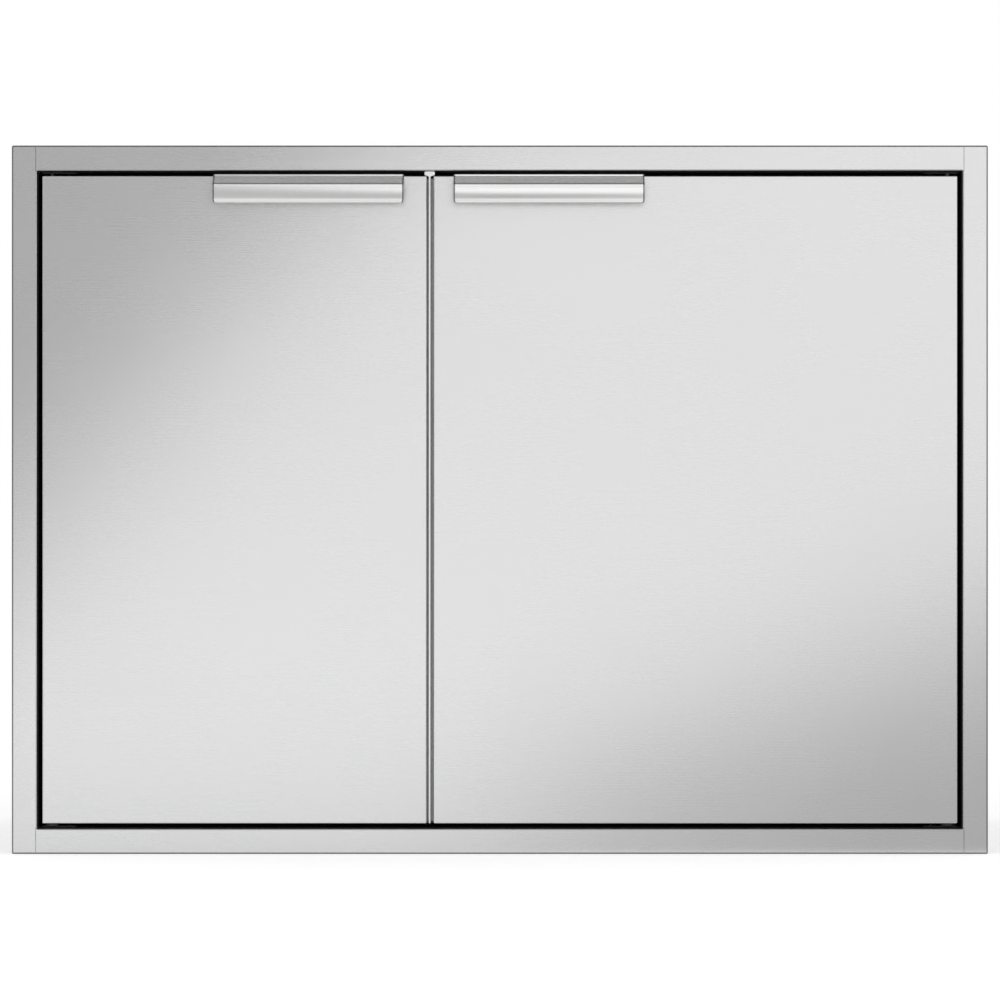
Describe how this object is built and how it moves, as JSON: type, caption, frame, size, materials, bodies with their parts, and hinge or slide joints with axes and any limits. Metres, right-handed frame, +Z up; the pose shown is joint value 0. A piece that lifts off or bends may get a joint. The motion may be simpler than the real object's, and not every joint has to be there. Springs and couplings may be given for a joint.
{
  "type": "pantry cabinet",
  "caption": "Built-in stainless steel pantry cabinet: trim frame, inset hinged doors of unlike width with edge pulls, seals, divider and adjustable shelves.",
  "frame": {"origin": "under the middle of the cabinet's bounding box, at the bottom edge of the trim frame", "axes": "+Z up, -Y out of the front face, +X to the right seen from the front"},
  "size_m": [0.9144, 0.5821, 0.6637],
  "materials": {
    "brushed": "fine horizontal brush, satin",
    "plain": "mill-finish stainless sheet",
    "bright": "fine brush, close to polished",
    "zinc": "bright zinc plate",
    "seal": "matt black extruded rubber",
    "nylon": "natural nylon",
    "magnet_case": "black moulded case"
  },
  "bodies": {
    "cabinet": {"back_panel": "plain", "bottom_panel": "plain", "divider_panel": "plain", "edge_lining": "seal", "frame_rail_bottom": "brushed", "frame_rail_top": "brushed", "frame_stile_left": "brushed", "frame_stile_right": "brushed", "hinge_bracket_lower_left": "plain", "hinge_bracket_lower_right": "plain", "hinge_bracket_upper_left": "plain", "hinge_bracket_upper_right": "plain", "magnet_catch_left": "magnet_case", "magnet_catch_right": "magnet_case", "mullion_post": "brushed", "mullion_strip": "bright", "shelf_left_lower": "brushed", "shelf_left_upper": "brushed", "shelf_right_lower": "brushed", "shelf_right_upper": "brushed", "shelf_runner_left_divider_lower": "zinc", "shelf_runner_left_divider_upper": "zinc", "shelf_runner_left_wall_lower": "zinc", "shelf_runner_left_wall_upper": "zinc", "shelf_runner_right_divider_lower": "zinc", "shelf_runner_right_divider_upper": "zinc", "shelf_runner_right_wall_lower": "zinc", "shelf_runner_right_wall_upper": "zinc", "shelf_standard_left_divider_front": "plain", "shelf_standard_left_divider_rear": "plain", "shelf_standard_left_wall_front": "plain", "shelf_standard_left_wall_rear": "plain", "shelf_standard_right_divider_front": "plain", "shelf_standard_right_divider_rear": "plain", "shelf_standard_right_wall_front": "plain", "shelf_standard_right_wall_rear": "plain", "side_panel_left": "plain", "side_panel_right": "plain", "top_panel": "plain"},
    "left_door": {"door_gasket_left": "seal", "door_handle_left": "bright", "door_liner_left": "plain", "door_skin_left": "brushed", "hinge_bush_left": "nylon", "pin_bracket_left": "zinc", "strike_plate_left": "zinc"},
    "right_door": {"door_gasket_right": "seal", "door_handle_right": "bright", "door_liner_right": "plain", "door_skin_right": "brushed", "hinge_bush_right": "nylon", "pin_bracket_right": "zinc", "strike_plate_right": "zinc"},
    "left_hinge_pin": {"hinge_pin_left": "bright", "pin_spring_left": "zinc"},
    "right_hinge_pin": {"hinge_pin_right": "bright", "pin_spring_right": "zinc"}
  },
  "joints": [
    {"name": "left_door_hinge", "type": "hinge", "parent": "cabinet", "child": "left_door", "pos_m": [-0.4196, -0.2606, 0], "axis": [0, 0, -1], "range_deg": [0, 110]},
    {"name": "left_pin_slide", "type": "slide", "parent": "left_door", "child": "left_hinge_pin", "axis": [0, 0, -1], "range_m": [0, 0.0085], "stiffness_N_per_m": 250, "springref_m": -0.02, "deforming": ["pin_spring_left"]},
    {"name": "right_door_hinge", "type": "hinge", "parent": "cabinet", "child": "right_door", "pos_m": [0.4196, -0.2606, 0], "axis": [0, 0, 1], "range_deg": [0, 110]},
    {"name": "right_pin_slide", "type": "slide", "parent": "right_door", "child": "right_hinge_pin", "axis": [0, 0, -1], "range_m": [0, 0.0085], "stiffness_N_per_m": 250, "springref_m": -0.02, "deforming": ["pin_spring_right"]}
  ]
}
